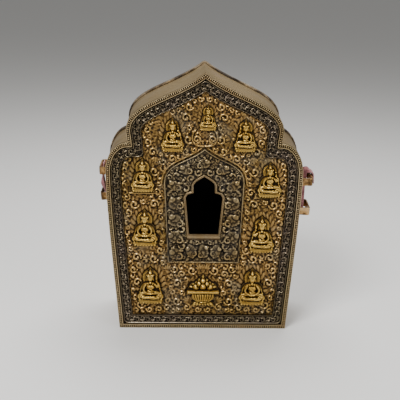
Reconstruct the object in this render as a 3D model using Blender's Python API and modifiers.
"""A portable altar: a small shrine box of sheet metal that a traveller carries by two straps.

The box stands upright. Its wall is one bent strip that follows a pointed, lobed outline, a chased
front is soldered to it, and a plain cover slips over its back. Metres, +Z up, the front faces -Y.
The origin lies in the middle of the underside.
"""

import math

import bmesh
import bpy
from mathutils import Matrix

# Outline of the case, seen from the front and measured from its underside
SHOULDER_HEIGHT = 0.132
SHOULDER_RISE = 0.0238
NECK_RISE = 0.0092
OGEE_RISE = 0.045
SHOULDER_HALF_WIDTH = 0.0766
BASE_TAPER = 0.0088
SHOULDER_STEP = 0.0171
NECK_PINCH = 0.0010
OGEE_STEPS = 8
SHOULDER_STEPS = 4
SIDE_STEPS = 4

# Case, from front to back
WALL_LENGTH = 0.0550
WALL_SHEET = 0.0012
FACE_SHEET = 0.0009
TOUCH = 0.0003
COVER_SHEET = 0.0008
COVER_FLANGE = 0.0068
COVER_PLAY = 0.0003
COVER_FOOT = 0.0004

# Rim and pierced border
RIM_WIDTH = 0.0038
RIM_HEIGHT = 0.0031
RIM_ROUNDING = 0.0009
BORDER_WIDTH = 0.0075
BORDER_SHEET = 0.0012
BORDER_PITCH = 0.0214
BORDER_HOLE_LENGTH = 0.0054
BORDER_HOLE_WIDTH = 0.0023
BORDER_HOLE_SLANT = 0.50
BORDER_EDGE = 0.0007

# Throne panel, and the window in it
PANEL_BOTTOM = 0.0572
PANEL_SIDE = 0.0662
PANEL_ARCH = 0.0283
PANEL_HALF_WIDTH = 0.0316
PANEL_TAPER = 0.0031
PANEL_SHEET = 0.0010
PANEL_EDGE_WIDTH = 0.0010
PANEL_EDGE_HEIGHT = 0.0009
PANEL_EDGE_STEP = 0.0002
PANEL_BOSS_DEPTH = 0.0028
PANEL_COLUMN_BOSSES = 4
WINDOW_SILL = 0.0246
WINDOW_BODY = 0.0315
WINDOW_STEP = 0.0087
WINDOW_ARCH = 0.0070
WINDOW_HALF_WIDTH = 0.0143
WINDOW_TAPER = 0.0028
WINDOW_NECK_HALF_WIDTH = 0.0082
BEZEL_WIDTH = 0.0019
BEZEL_HEIGHT = 0.0014
SILL_HEIGHT = 0.0028

# Chased scrolls, and the raised pads that the gilt pieces stand on
PAD_HEIGHT = 0.0014
SCROLL_RADIUS = 0.0056
SCROLL_HEIGHT = 0.0011
SCROLL_HALF_WIDTH = 0.0011
SCROLL_TIP = 0.38
SCROLL_TURNS = 0.94
SCROLL_STEPS = 5

# Middles of the scrolls on the right half, and the way each one turns. The first number is a share
# of the half width inside the border there, the second a share of the case height.
SCROLL_SHARES = (
    (0.36, 0.112, 1),
    (0.35, 0.186, -1),
    (0.87, 0.098, 1),
    (0.89, 0.190, -1),
    (0.15, 0.240, 1),
    (0.65, 0.288, 1),
    (0.87, 0.293, -1),
    (0.61, 0.507, -1),
    (0.85, 0.505, 1),
    (0.60, 0.633, 1),
    (0.83, 0.707, -1),
    (0.26, 0.755, 1),
    (0.38, 0.836, -1),
)

# Gilt pieces: middle as a share of that half width, then foot and height as shares of the case
# height, and the side of a raised hand
FIGURE_RELIEF_SHARE = 0.155
FIGURE_SHARES = {
    "figure_crown": (0.06, 0.791, 0.095, 0),
    "figure_upper_left": (-0.51, 0.711, 0.129, 1),
    "figure_upper_right": (0.64, 0.712, 0.125, -1),
    "figure_shoulder_left": (-0.74, 0.556, 0.131, 0),
    "figure_shoulder_right": (0.785, 0.539, 0.137, 1),
    "figure_side_left": (-0.74, 0.343, 0.148, 0),
    "figure_side_right": (0.735, 0.320, 0.148, -1),
    "figure_foot_left": (-0.715, 0.106, 0.153, 1),
    "figure_foot_right": (0.67, 0.102, 0.155, 0),
}
VESSEL_RISE = 0.0089
VESSEL_HEIGHT = 0.0270
VESSEL_HALF_WIDTH = 0.0128
VESSEL_RELIEF = 0.0045
VESSEL_STEPS = 10

# Strap loops: middle heights as shares of the shoulder height, then how far each side's loops stand
# off the wall and how far behind its middle they sit
LOOP_SHARES = {
    "right": {"lower": 0.729, "upper": 0.914},
    "left": {"lower": 0.805, "upper": 0.965},
}
RIGHT_STAND_OFF = 0.0110
LEFT_STAND_OFF = 0.0074
RIGHT_SHIFT = -0.0010
LEFT_SHIFT = 0.0030
LOOP_STAND_OFF = {"right": RIGHT_STAND_OFF, "left": LEFT_STAND_OFF}
LOOP_SHIFT = {"right": RIGHT_SHIFT, "left": LEFT_SHIFT}
LOOP_LENGTH = 0.0250
LOOP_HEIGHT = 0.0062
LOOP_SHEET = 0.0012
LOOP_CORNER = 0.0016

# Cloth left in the loops
SASH_WIDTH = 0.0120
SASH_THICKNESS = 0.0020
SASH_SIDE_PLAY = 0.0022
SASH_PLAY = 0.0006
SASH_RISE = 0.0026
SASH_HANG = 0.0105
SASH_BULGE = 0.28

# Places that the pieces share
CUSP_HEIGHT = SHOULDER_HEIGHT + SHOULDER_RISE
LOBE_HEIGHT = CUSP_HEIGHT + NECK_RISE
CASE_HEIGHT = LOBE_HEIGHT + OGEE_RISE
BASE_HALF_WIDTH = SHOULDER_HALF_WIDTH - BASE_TAPER
CUSP_HALF_WIDTH = SHOULDER_HALF_WIDTH - SHOULDER_STEP
LOBE_HALF_WIDTH = CUSP_HALF_WIDTH + NECK_PINCH
WALL_FRONT = -WALL_LENGTH / 2
WALL_BACK = WALL_LENGTH / 2
FACE_BACK = WALL_FRONT - TOUCH
FACE_FRONT = FACE_BACK - FACE_SHEET
TRIM_BACK = FACE_FRONT - TOUCH
GILT_BACK = FACE_FRONT - PAD_HEIGHT - TOUCH
COVER_INSIDE = WALL_BACK + TOUCH
COVER_OUTSIDE = COVER_INSIDE + COVER_SHEET
BORDER_OUTER_INSET = RIM_WIDTH + TOUCH
BORDER_INNER_INSET = BORDER_OUTER_INSET + BORDER_WIDTH
PANEL_SHOULDER = PANEL_BOTTOM + PANEL_SIDE
PANEL_TOP = PANEL_SHOULDER + PANEL_ARCH
WINDOW_BOTTOM = PANEL_BOTTOM + WINDOW_SILL
WINDOW_SHOULDER = WINDOW_BOTTOM + WINDOW_BODY
WINDOW_NECK = WINDOW_SHOULDER + WINDOW_STEP
WINDOW_TOP = WINDOW_NECK + WINDOW_ARCH
SILL_BOTTOM = WINDOW_BOTTOM - BEZEL_WIDTH - SILL_HEIGHT
VESSEL_FOOT = BORDER_INNER_INSET + VESSEL_RISE

COLOURS = {
    "case_brass": ((0.36, 0.25, 0.14), 0.5),
    "face_copper": ((0.42, 0.24, 0.09), 0.42),
    "border_dark": ((0.13, 0.10, 0.08), 0.5),
    "panel_silver": ((0.22, 0.20, 0.17), 0.42),
    "gilt": ((0.75, 0.49, 0.12), 0.3),
    "loop_brass": ((0.50, 0.30, 0.10), 0.4),
    "sash_cloth": ((0.55, 0.33, 0.30), 0.9),
}


def clear_scene():
    for item in list(bpy.data.objects):
        bpy.data.objects.remove(item, do_unlink=True)


def new_collection(name):
    collection = bpy.data.collections.new(name)
    bpy.context.scene.collection.children.link(collection)
    return collection


def finish_of(name):
    """Gives the named finish, made the first time it is asked for."""
    if name in bpy.data.materials:
        return bpy.data.materials[name]
    colour, roughness = COLOURS[name]
    material = bpy.data.materials.new(name)
    material.use_nodes = True
    shader = material.node_tree.nodes["Principled BSDF"]
    shader.inputs["Base Color"].default_value = (*colour, 1.0)
    shader.inputs["Roughness"].default_value = roughness
    shader.inputs["Metallic"].default_value = 0.0 if name == "sash_cloth" else 1.0
    return material


def bezier(start, lead, trail, end, steps):
    """Points along a cubic curve, without its last one."""
    points = []
    for step in range(steps):
        t = step / steps
        weights = ((1 - t) ** 3, 3 * t * (1 - t) ** 2, 3 * t * t * (1 - t), t ** 3)
        corners = (start, lead, trail, end)
        points.append(tuple(sum(w * c[axis] for w, c in zip(weights, corners)) for axis in (0, 1)))
    return points


def mirrored(half):
    """Closes a right half, listed from the top downwards, with its mirror image."""
    left = [(-x, z) for x, z in reversed(half) if x > 1e-9]
    return half + left


def case_outline():
    """Outer face of the case wall: an ogee point, an upper lobe, a shoulder and a tapering side."""
    apex = (0.0, CASE_HEIGHT)
    lobe = (LOBE_HALF_WIDTH, LOBE_HEIGHT)
    cusp = (CUSP_HALF_WIDTH, CUSP_HEIGHT)
    shoulder = (SHOULDER_HALF_WIDTH, SHOULDER_HEIGHT)
    base = (BASE_HALF_WIDTH, 0.0)
    half = bezier(apex, (LOBE_HALF_WIDTH * 0.40, CASE_HEIGHT - OGEE_RISE * 0.44),
                  (LOBE_HALF_WIDTH, LOBE_HEIGHT + OGEE_RISE * 0.49), lobe, OGEE_STEPS)
    half.append(lobe)
    half += bezier(cusp, (CUSP_HALF_WIDTH + SHOULDER_STEP * 0.56, CUSP_HEIGHT),
                   (SHOULDER_HALF_WIDTH, SHOULDER_HEIGHT + SHOULDER_RISE * 0.59), shoulder,
                   SHOULDER_STEPS)
    half += bezier(shoulder, (SHOULDER_HALF_WIDTH, SHOULDER_HEIGHT * 0.76),
                   (BASE_HALF_WIDTH + BASE_TAPER * 0.20, SHOULDER_HEIGHT * 0.19), base, SIDE_STEPS)
    half.append(base)
    return mirrored(half)


def inset(points, distance):
    """Moves a closed clockwise outline inwards by a distance, with mitred corners."""
    moved = []
    for index, (x, z) in enumerate(points):
        before = points[index - 1]
        after = points[(index + 1) % len(points)]
        arriving = (x - before[0], z - before[1])
        leaving = (after[0] - x, after[1] - z)
        normals = []
        for run in (arriving, leaving):
            length = math.hypot(*run)
            normals.append((run[1] / length, -run[0] / length))
        across = (normals[0][0] + normals[1][0], normals[0][1] + normals[1][1])
        share = 2 * distance / (across[0] ** 2 + across[1] ** 2)
        moved.append((x + across[0] * share, z + across[1] * share))
    return moved


def edge_at(outline, height):
    """Half width of an outline at a height, and how far its edge leans outwards there."""
    side = [point for point in outline if point[0] >= 0]
    for upper, lower in zip(side, side[1:]):
        if lower[1] <= height <= upper[1] and upper[1] > lower[1]:
            share = (height - lower[1]) / (upper[1] - lower[1])
            lean = math.atan2(upper[0] - lower[0], upper[1] - lower[1])
            return lower[0] + (upper[0] - lower[0]) * share, lean
    raise ValueError("the outline has no edge at that height")


def window_outline():
    """Edge of the window: a tapering body, a stepped shoulder and a small pointed arch."""
    half = bezier((0.0, WINDOW_TOP), (WINDOW_NECK_HALF_WIDTH * 0.5, WINDOW_TOP - WINDOW_ARCH * 0.37),
                  (WINDOW_NECK_HALF_WIDTH * 0.9, WINDOW_NECK + WINDOW_ARCH * 0.43),
                  (WINDOW_NECK_HALF_WIDTH, WINDOW_NECK), 3)
    half.append((WINDOW_NECK_HALF_WIDTH, WINDOW_NECK))
    half.append((WINDOW_NECK_HALF_WIDTH, WINDOW_SHOULDER + WINDOW_STEP * 0.30))
    half.append((WINDOW_HALF_WIDTH - WINDOW_STEP * 0.18, WINDOW_SHOULDER + WINDOW_STEP * 0.16))
    half.append((WINDOW_HALF_WIDTH, WINDOW_SHOULDER - WINDOW_STEP * 0.12))
    half.append((WINDOW_HALF_WIDTH - WINDOW_TAPER, WINDOW_BOTTOM))
    return mirrored(half)


def with_sill(loop, gap):
    """Drops the lower corners of a window edge to take in the sill."""
    return [(x, SILL_BOTTOM - gap if z < WINDOW_BOTTOM else z) for x, z in loop]


def panel_outline():
    """Edge of the throne panel: upright sides, rounded shoulders and an ogee point."""
    half = bezier((0.0, PANEL_TOP), (PANEL_HALF_WIDTH * 0.40, PANEL_TOP - PANEL_ARCH * 0.42),
                  (PANEL_HALF_WIDTH, PANEL_SHOULDER + PANEL_ARCH * 0.62),
                  (PANEL_HALF_WIDTH, PANEL_SHOULDER), 7)
    half.append((PANEL_HALF_WIDTH, PANEL_SHOULDER))
    half.append((PANEL_HALF_WIDTH - PANEL_TAPER, PANEL_BOTTOM))
    return mirrored(half)


def on_face(outline, across, up):
    """A place on the front, from a share of the half width inside the border and of the height."""
    height = CASE_HEIGHT * up
    inner = inset(outline, BORDER_INNER_INSET)
    return edge_at(inner, height)[0] * across, height


def circle(centre, radius_x, radius_z, sides):
    turn = 2 * math.pi / sides
    return [(centre[0] + radius_x * math.cos(turn * side), centre[1] + radius_z * math.sin(turn * side))
            for side in range(sides)]


def evaluated_mesh(item):
    bpy.context.view_layer.update()
    graph = bpy.context.evaluated_depsgraph_get()
    return bpy.data.meshes.new_from_object(item.evaluated_get(graph), depsgraph=graph)


def solid_from_curve(name, curve, matrix):
    """Turns a curve into a closed mesh with its place in the mesh."""
    source = bpy.data.objects.new(name + "_curve", curve)
    bpy.context.scene.collection.objects.link(source)
    mesh = evaluated_mesh(source)
    bpy.data.objects.remove(source, do_unlink=True)
    mesh.transform(matrix)
    return welded(name, mesh)


def welded(name, mesh):
    work = bmesh.new()
    work.from_mesh(mesh)
    bmesh.ops.remove_doubles(work, verts=work.verts, dist=1e-6)
    bmesh.ops.recalc_face_normals(work, faces=work.faces)
    work.to_mesh(mesh)
    work.free()
    item = bpy.data.objects.new(name, mesh)
    bpy.context.scene.collection.objects.link(item)
    return item


def sheet_solid(name, loops, front, back):
    """An upright sheet between two depths. The first loop is its edge, the others are its holes."""
    curve = bpy.data.curves.new(name, "CURVE")
    curve.dimensions = "2D"
    curve.fill_mode = "BOTH"
    curve.extrude = (back - front) / 2
    for loop in loops:
        spline = curve.splines.new("POLY")
        spline.points.add(len(loop) - 1)
        for spot, (x, z) in zip(spline.points, loop):
            spot.co = (x, z, 0.0, 1.0)
        spline.use_cyclic_u = True
    upright = Matrix.Translation((0.0, (front + back) / 2, 0.0)) @ Matrix.Rotation(math.pi / 2, 4, "X")
    return solid_from_curve(name, curve, upright)


def tube_solid(name, paths, depth):
    """Four-sided ridges along paths of x, z and radius, all lying at one depth."""
    curve = bpy.data.curves.new(name, "CURVE")
    curve.dimensions = "3D"
    curve.bevel_depth = 1.0
    curve.bevel_resolution = 0
    curve.use_fill_caps = True
    for path in paths:
        spline = curve.splines.new("POLY")
        spline.points.add(len(path) - 1)
        for spot, (x, z, radius) in zip(spline.points, path):
            spot.co = (x, depth, z, 1.0)
            spot.radius = radius
    return solid_from_curve(name, curve, Matrix.Identity(4))


def egg_solid(name, centre, radii, segments, rings):
    work = bmesh.new()
    bmesh.ops.create_uvsphere(work, u_segments=segments, v_segments=rings, radius=1.0)
    bmesh.ops.transform(work, verts=work.verts,
                        matrix=Matrix.Translation(centre) @ Matrix.Diagonal((*radii, 1.0)))
    mesh = bpy.data.meshes.new(name)
    work.to_mesh(mesh)
    work.free()
    item = bpy.data.objects.new(name, mesh)
    bpy.context.scene.collection.objects.link(item)
    return item


def box_solid(name, low, high):
    work = bmesh.new()
    bmesh.ops.create_cube(work, size=1.0)
    size = [top - bottom for bottom, top in zip(low, high)]
    middle = [(top + bottom) / 2 for bottom, top in zip(low, high)]
    bmesh.ops.transform(work, verts=work.verts,
                        matrix=Matrix.Translation(middle) @ Matrix.Diagonal((*size, 1.0)))
    mesh = bpy.data.meshes.new(name)
    work.to_mesh(mesh)
    work.free()
    item = bpy.data.objects.new(name, mesh)
    bpy.context.scene.collection.objects.link(item)
    return item


def combine(base, others, operation, solver="EXACT"):
    """Adds or cuts other solids, then keeps the result as the base's own mesh."""
    for other in others:
        step = base.modifiers.new(operation.lower(), "BOOLEAN")
        step.operation = operation
        step.solver = solver
        step.object = other
    mesh = evaluated_mesh(base)
    work = bmesh.new()
    work.from_mesh(mesh)
    bmesh.ops.dissolve_degenerate(work, dist=2e-6, edges=work.edges)
    work.to_mesh(mesh)
    work.free()
    base.modifiers.clear()
    base.data = mesh
    for other in others:
        bpy.data.objects.remove(other, do_unlink=True)
    return base


def make_case_wall(outline):
    return sheet_solid("case_wall", [outline, inset(outline, WALL_SHEET)], WALL_FRONT, WALL_BACK)


def make_back_cover(outline):
    """A plate with a flange that slips over the wall. The flange leaves the underside free."""
    reach = COVER_PLAY + COVER_SHEET
    edge = [(x, max(z, COVER_FOOT)) for x, z in inset(outline, -reach)]
    cover = sheet_solid("back_cover", [edge], WALL_BACK - COVER_FLANGE, COVER_OUTSIDE)
    pocket = sheet_solid("cover_pocket", [inset(outline, -COVER_PLAY)],
                         WALL_BACK - COVER_FLANGE * 2, COVER_INSIDE)
    return combine(cover, [pocket], "DIFFERENCE")


def spiral(centre, start, hand):
    """Outline of a band that winds inwards and thins towards its tip."""
    outer = []
    inner = []
    for step in range(SCROLL_STEPS + 1):
        share = step / SCROLL_STEPS
        reach = SCROLL_RADIUS * (1 - (1 - SCROLL_TIP) * share)
        half = SCROLL_HALF_WIDTH * (1 - 0.6 * share)
        angle = start + hand * SCROLL_TURNS * 2 * math.pi * share
        for row, length in ((outer, reach + half), (inner, reach - half)):
            row.append((centre[0] + length * math.cos(angle), centre[1] + length * math.sin(angle)))
    return outer + inner[::-1]


def make_face_plate(outline):
    """The chased front: a sheet with the window cut out, pads under the gilt pieces, and scrolls."""
    plate = sheet_solid("face_plate", [outline, window_outline()], FACE_FRONT, FACE_BACK)
    pads = []
    for across, up, tall, _ in FIGURE_SHARES.values():
        height = tall * CASE_HEIGHT
        x = figure_middle(outline, across, up, tall)
        pads.append(circle((x, CASE_HEIGHT * up + height * 0.47), height * 0.26, height * 0.43, 8))
    pads.append(circle((0.0, VESSEL_FOOT + VESSEL_HEIGHT * 0.5), VESSEL_HALF_WIDTH * 0.8,
                       VESSEL_HEIGHT * 0.40, 8))
    raised = sheet_solid("face_pads", pads, FACE_FRONT - PAD_HEIGHT, FACE_FRONT + FACE_SHEET / 2)
    bands = []
    for across, up, hand in SCROLL_SHARES:
        x, z = on_face(outline, across, up)
        bands.append(spiral((x, z), math.radians(200), hand))
        bands.append(spiral((-x, z), math.radians(-20), -hand))
    scrolls = sheet_solid("face_scrolls", bands, FACE_FRONT - SCROLL_HEIGHT, FACE_FRONT + FACE_SHEET / 3)
    return combine(plate, [raised, scrolls], "UNION")


def make_rim(outline):
    """The cord that frames the front, a flat ring with rounded edges."""
    rim = sheet_solid("rim_cord", [outline, inset(outline, RIM_WIDTH)], TRIM_BACK - RIM_HEIGHT, TRIM_BACK)
    rounding = rim.modifiers.new("rounding", "BEVEL")
    rounding.width = RIM_ROUNDING
    rounding.segments = 1
    rounding.limit_method = "ANGLE"
    rounding.angle_limit = math.radians(75)
    return rim


def leaf_holes(track, open_width):
    """Leaf openings that lean to and fro along the border, in turn outside and inside its middle."""
    spans = []
    for start, end in zip(track, track[1:] + track[:1]):
        spans.append((start, end, math.hypot(end[0] - start[0], end[1] - start[1])))
    whole = sum(length for _, _, length in spans)
    count = 2 * round(whole / BORDER_PITCH)
    holes = []
    for number in range(count):
        along = whole * (number + 0.5) / count
        for start, end, length in spans:
            if along <= length:
                break
            along -= length
        side = 1 if number % 2 else -1
        run = ((end[0] - start[0]) / length, (end[1] - start[1]) / length)
        lean = math.atan2(run[1], run[0]) + side * BORDER_HOLE_SLANT
        x = start[0] + run[0] * along - run[1] * side * open_width / 4
        z = start[1] + run[1] * along + run[0] * side * open_width / 4
        along_leaf = (math.cos(lean) * BORDER_HOLE_LENGTH / 2, math.sin(lean) * BORDER_HOLE_LENGTH / 2)
        across_leaf = (-math.sin(lean) * BORDER_HOLE_WIDTH / 2, math.cos(lean) * BORDER_HOLE_WIDTH / 2)
        holes.append([(x + along_leaf[0], z + along_leaf[1]), (x + across_leaf[0], z + across_leaf[1]),
                      (x - along_leaf[0], z - along_leaf[1]), (x - across_leaf[0], z - across_leaf[1])])
    return holes


def make_border(outline):
    """The pierced strip inside the rim."""
    open_width = BORDER_WIDTH - BORDER_EDGE * 2
    track = inset(outline, BORDER_OUTER_INSET + BORDER_WIDTH / 2)
    loops = [inset(outline, BORDER_OUTER_INSET), inset(outline, BORDER_INNER_INSET)]
    loops += leaf_holes(track, open_width)
    return sheet_solid("border_strip", loops, TRIM_BACK - BORDER_SHEET, TRIM_BACK)


def boss_places():
    """Bosses of the throne: a column on each side, an arch over the window and a row below it."""
    margin = PANEL_HALF_WIDTH - WINDOW_HALF_WIDTH - BEZEL_WIDTH - PANEL_EDGE_WIDTH
    column_x = WINDOW_HALF_WIDTH + BEZEL_WIDTH + margin * 0.46
    step = (WINDOW_SHOULDER - PANEL_BOTTOM) / PANEL_COLUMN_BOSSES
    places = []
    for number in range(PANEL_COLUMN_BOSSES):
        height = PANEL_BOTTOM + PANEL_EDGE_WIDTH + step * (number + 0.5)
        places.append((column_x, height, margin * 0.38, step * 0.40))
        places.append((-column_x, height, margin * 0.38, step * 0.40))
    arch = (PANEL_TOP - WINDOW_TOP) * 0.5
    reach = WINDOW_TOP - WINDOW_SHOULDER + arch * 0.95
    for degrees in (18, 54, 90, 126, 162):
        angle = math.radians(degrees)
        places.append((reach * 0.92 * math.cos(angle), WINDOW_SHOULDER + reach * math.sin(angle),
                       arch * 0.42, arch * 0.40))
    row = SILL_BOTTOM - PANEL_BOTTOM
    for number in (-1, 0, 1):
        places.append((number * WINDOW_HALF_WIDTH * 0.69, PANEL_BOTTOM + row * 0.5,
                       WINDOW_HALF_WIDTH * 0.29, row * 0.34))
    return places


def make_throne_panel():
    """Dark silver work around the window: a sheet with a raised edge and bold bosses."""
    outer = panel_outline()
    hole = with_sill(inset(window_outline(), -(BEZEL_WIDTH + TOUCH)), TOUCH)
    panel = sheet_solid("throne_panel", [outer, hole], TRIM_BACK - PANEL_SHEET, TRIM_BACK)
    edge = sheet_solid("panel_edge", [inset(outer, PANEL_EDGE_STEP), inset(outer, PANEL_EDGE_WIDTH)],
                       TRIM_BACK - PANEL_SHEET - PANEL_EDGE_HEIGHT, TRIM_BACK - PANEL_SHEET / 2)
    domes = []
    for x, z, half_width, half_height in boss_places():
        centre = (x, TRIM_BACK - PANEL_BOSS_DEPTH / 2 - PANEL_EDGE_STEP, z)
        domes.append(egg_solid("boss", centre, (half_width, PANEL_BOSS_DEPTH / 2, half_height), 6, 4))
    return combine(panel, [edge] + domes, "UNION", "MANIFOLD")


def make_window_bezel():
    """A plain flat moulding around the window, deeper below it as a sill."""
    opening = window_outline()
    outer = with_sill(inset(opening, -BEZEL_WIDTH), 0.0)
    return sheet_solid("window_bezel", [outer, opening], TRIM_BACK - PANEL_SHEET - BEZEL_HEIGHT, TRIM_BACK)


def figure_middle(outline, across, up, tall):
    """Where a figure's middle line lies, by the half width of the front at its own middle."""
    return on_face(outline, across, up + tall / 2)[0]


def make_figure(name, outline, across, up, tall, raised):
    """A seated figure on a lotus, in half relief: seat, legs, trunk, arms, head and halo."""
    x = figure_middle(outline, across, up, tall)
    foot = CASE_HEIGHT * up
    height = CASE_HEIGHT * tall
    relief = height * FIGURE_RELIEF_SHARE

    def egg(up_share, half_width, half_height, depth, segments, rings):
        return egg_solid(name, (x, GILT_BACK, foot + up_share * height),
                         (half_width * height, depth * relief, half_height * height), segments, rings)

    halo_loop = circle((x, foot + 0.68 * height), 0.19 * height, 0.20 * height, 7)
    body = sheet_solid(name, [halo_loop], GILT_BACK - relief * 0.30, GILT_BACK + relief * 0.3)
    pieces = [egg(0.09, 0.30, 0.10, 0.70, 8, 3)]
    pieces.append(egg(0.24, 0.27, 0.085, 0.86, 6, 4))
    pieces.append(egg(0.43, 0.115, 0.175, 0.74, 6, 4))
    pieces.append(egg(0.74, 0.082, 0.160, 0.84, 6, 4))
    for side in (-1, 1):
        if side == raised:
            arm = ((0.09, 0.54), (0.21, 0.44), (0.20, 0.68))
        else:
            arm = ((0.09, 0.54), (0.20, 0.38), (0.03, 0.29))
        path = [(x + side * reach * height, foot + level * height, 0.036 * height) for reach, level in arm]
        pieces.append(tube_solid(name, [path], GILT_BACK - relief * 0.45))
    behind = box_solid(name, (x - height, GILT_BACK, foot - height),
                       (x + height, GILT_BACK + height, foot + height * 2))
    body = combine(body, pieces, "UNION")
    body = combine(body, [behind], "DIFFERENCE")
    body.name = name
    return body


def make_vessel():
    """The offering vessel below the throne, a turned bowl in half relief with a flame above."""
    wide = VESSEL_HALF_WIDTH
    tall = VESSEL_HEIGHT
    profile = ((0.0, 0.50), (0.52, 0.50), (1.00, 0.47), (1.00, 0.41), (0.72, 0.37), (0.66, 0.22),
               (0.38, 0.10), (0.55, 0.03), (0.55, 0.0), (0.0, 0.0))
    work = bmesh.new()
    spots = [work.verts.new((wide * share_x, 0.0, tall * share_z)) for share_x, share_z in profile]
    for start, end in zip(spots, spots[1:]):
        work.edges.new((start, end))
    mesh = bpy.data.meshes.new("offering_vessel")
    work.to_mesh(mesh)
    work.free()
    bowl = bpy.data.objects.new("offering_vessel", mesh)
    bpy.context.scene.collection.objects.link(bowl)
    turning = bowl.modifiers.new("turning", "SCREW")
    turning.angle = 2 * math.pi
    turning.steps = VESSEL_STEPS
    turning.render_steps = VESSEL_STEPS
    turning.use_merge_vertices = True
    turning.merge_threshold = 0.00001
    turned = evaluated_mesh(bowl)
    bpy.data.objects.remove(bowl, do_unlink=True)
    flatten = Matrix.Diagonal((1.0, VESSEL_RELIEF / wide, 1.0, 1.0))
    turned.transform(Matrix.Translation((0.0, GILT_BACK, VESSEL_FOOT)) @ flatten)
    vessel = welded("offering_vessel", turned)
    flames = []
    for across, up, half_width, half_height in ((0.0, 0.66, 0.26, 0.34), (-0.42, 0.60, 0.24, 0.20),
                                                (0.42, 0.60, 0.24, 0.20)):
        flames.append(egg_solid("flame", (across * wide, GILT_BACK, VESSEL_FOOT + up * tall),
                                (half_width * wide, VESSEL_RELIEF * 0.6, half_height * tall), 8, 5))
    behind = box_solid("behind", (-wide * 2, GILT_BACK, 0.0),
                       (wide * 2, GILT_BACK + wide * 2, VESSEL_FOOT + tall * 2))
    vessel = combine(vessel, flames, "UNION")
    return combine(vessel, [behind], "DIFFERENCE")


def loop_frame(outline, side, share):
    """Places things that are drawn flat against the wall: x away from it, y to the back, z up."""
    height = SHOULDER_HEIGHT * share
    half_width, lean = edge_at(outline, height)
    frame = Matrix.Translation((half_width, LOOP_SHIFT[side], height)) @ Matrix.Rotation(lean, 4, "Y")
    if side == "left":
        frame = Matrix.Diagonal((-1.0, 1.0, 1.0, 1.0)) @ frame
    return frame


def bent_strip(name, centre_line, thickness, height, frame):
    """A strip of sheet that follows a line in plan, with its width upright."""
    curve = bpy.data.curves.new(name, "CURVE")
    curve.dimensions = "2D"
    curve.fill_mode = "BOTH"
    curve.extrude = height / 2
    near = offset_line(centre_line, thickness / 2)
    far = offset_line(centre_line, -thickness / 2)
    spline = curve.splines.new("POLY")
    loop = near + list(reversed(far))
    spline.points.add(len(loop) - 1)
    for spot, (along_x, along_y) in zip(spline.points, loop):
        spot.co = (along_x, along_y, 0.0, 1.0)
    spline.use_cyclic_u = True
    return solid_from_curve(name, curve, frame)


def offset_line(line, distance):
    """Moves an open line sideways, with mitred corners."""
    moved = []
    for index, (x, y) in enumerate(line):
        before = line[max(index - 1, 0)]
        after = line[min(index + 1, len(line) - 1)]
        runs = []
        for start, end in ((before, (x, y)), ((x, y), after)):
            length = math.hypot(end[0] - start[0], end[1] - start[1])
            if length > 0:
                runs.append((-(end[1] - start[1]) / length, (end[0] - start[0]) / length))
        across = (sum(run[0] for run in runs) / len(runs), sum(run[1] for run in runs) / len(runs))
        share = distance / (across[0] ** 2 + across[1] ** 2)
        moved.append((x + across[0] * share, y + across[1] * share))
    return moved


def make_loop(name, outline, side, share):
    """A strip bent to a square loop, whose two ends meet the wall."""
    reach = LOOP_STAND_OFF[side] - LOOP_SHEET / 2
    half = LOOP_LENGTH / 2 - LOOP_SHEET / 2
    line = [(TOUCH, -half), (reach - LOOP_CORNER, -half)]
    for degrees in (-60, -30):
        angle = math.radians(degrees)
        line.append((reach - LOOP_CORNER + LOOP_CORNER * math.cos(angle),
                     -half + LOOP_CORNER + LOOP_CORNER * math.sin(angle)))
    line.append((reach, -half + LOOP_CORNER))
    line += [(x, -y) for x, y in reversed(line)]
    return bent_strip(name, line, LOOP_SHEET, LOOP_HEIGHT, loop_frame(outline, side, share))


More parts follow.
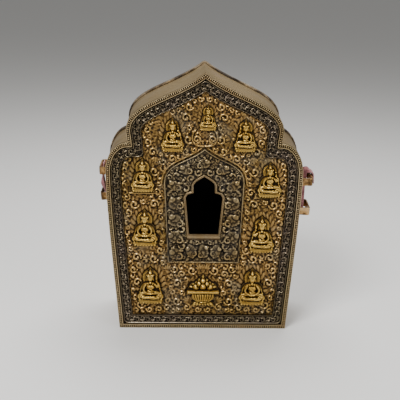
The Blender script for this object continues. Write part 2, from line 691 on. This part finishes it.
def make_sash(name, outline, side):
    """Cloth that runs up through both loops. On the right it folds over the upper one and hangs down.
    On the left it bulges out between them and ends inside the upper one."""
    upper_height = SHOULDER_HEIGHT * LOOP_SHARES[side]["upper"]
    lower_height = SHOULDER_HEIGHT * LOOP_SHARES[side]["lower"]
    top = upper_height + LOOP_HEIGHT / 2
    foot = lower_height - LOOP_HEIGHT / 2
    half = SASH_THICKNESS / 2
    upper_face = edge_at(outline, upper_height)[0] + LOOP_STAND_OFF[side]
    lower_face = edge_at(outline, lower_height)[0] + LOOP_STAND_OFF[side]
    inside_top = upper_face - LOOP_SHEET - SASH_PLAY - half
    inside_foot = lower_face - LOOP_SHEET - SASH_PLAY * 2 - half
    outside = upper_face + SASH_PLAY + half
    if side == "left":
        low = lower_height + LOOP_HEIGHT / 2
        gap = upper_height - LOOP_HEIGHT / 2 - low
        crest = (upper_face + lower_face) / 2 - half - TOUCH
        line = [(inside_foot, foot), (inside_foot, low + TOUCH), (crest, low + gap * SASH_BULGE),
                (crest, low + gap * (1 - SASH_BULGE)), (inside_top, low + gap - TOUCH),
                (inside_top, top + TOUCH)]
    else:
        line = [(inside_foot, foot), (inside_top, top + TOUCH)]
        middle = (inside_top + outside) / 2
        bend = (outside - inside_top) / 2
        for step in range(1, 5):
            angle = math.pi * (1 - step / 5)
            line.append((middle + bend * math.cos(angle),
                         top + SASH_RISE - half + bend * math.sin(angle) * 0.6))
        line += [(outside, top), (outside + SASH_THICKNESS * 0.3, top - SASH_HANG)]
    back = LOOP_SHIFT[side] + LOOP_LENGTH / 2 - LOOP_SHEET - SASH_SIDE_PLAY
    near = offset_line(line, half)
    far = offset_line(line, -half)
    hand = -1 if side == "left" else 1
    loop = [(hand * x, z) for x, z in near + list(reversed(far))]
    return sheet_solid(name, [loop], back - SASH_WIDTH, back)


def dress(item, collection, material):
    """Moves a finished piece to the altar's collection and gives it its finish."""
    for holder in list(item.users_collection):
        holder.objects.unlink(item)
    collection.objects.link(item)
    item.data.materials.clear()
    item.data.materials.append(finish_of(material))


def main():
    clear_scene()
    altar = new_collection("portable_altar")
    outline = case_outline()
    dress(make_case_wall(outline), altar, "case_brass")
    dress(make_back_cover(outline), altar, "case_brass")
    dress(make_face_plate(outline), altar, "face_copper")
    dress(make_rim(outline), altar, "case_brass")
    dress(make_border(outline), altar, "border_dark")
    dress(make_throne_panel(), altar, "panel_silver")
    dress(make_window_bezel(), altar, "face_copper")
    for name, (across, up, tall, raised) in FIGURE_SHARES.items():
        dress(make_figure(name, outline, across, up, tall, raised), altar, "gilt")
    dress(make_vessel(), altar, "gilt")
    for side, levels in LOOP_SHARES.items():
        for level, share in levels.items():
            name = "strap_loop_%s_%s" % (side, level)
            dress(make_loop(name, outline, side, share), altar, "loop_brass")
        dress(make_sash("sash_" + side, outline, side), altar, "sash_cloth")


main()
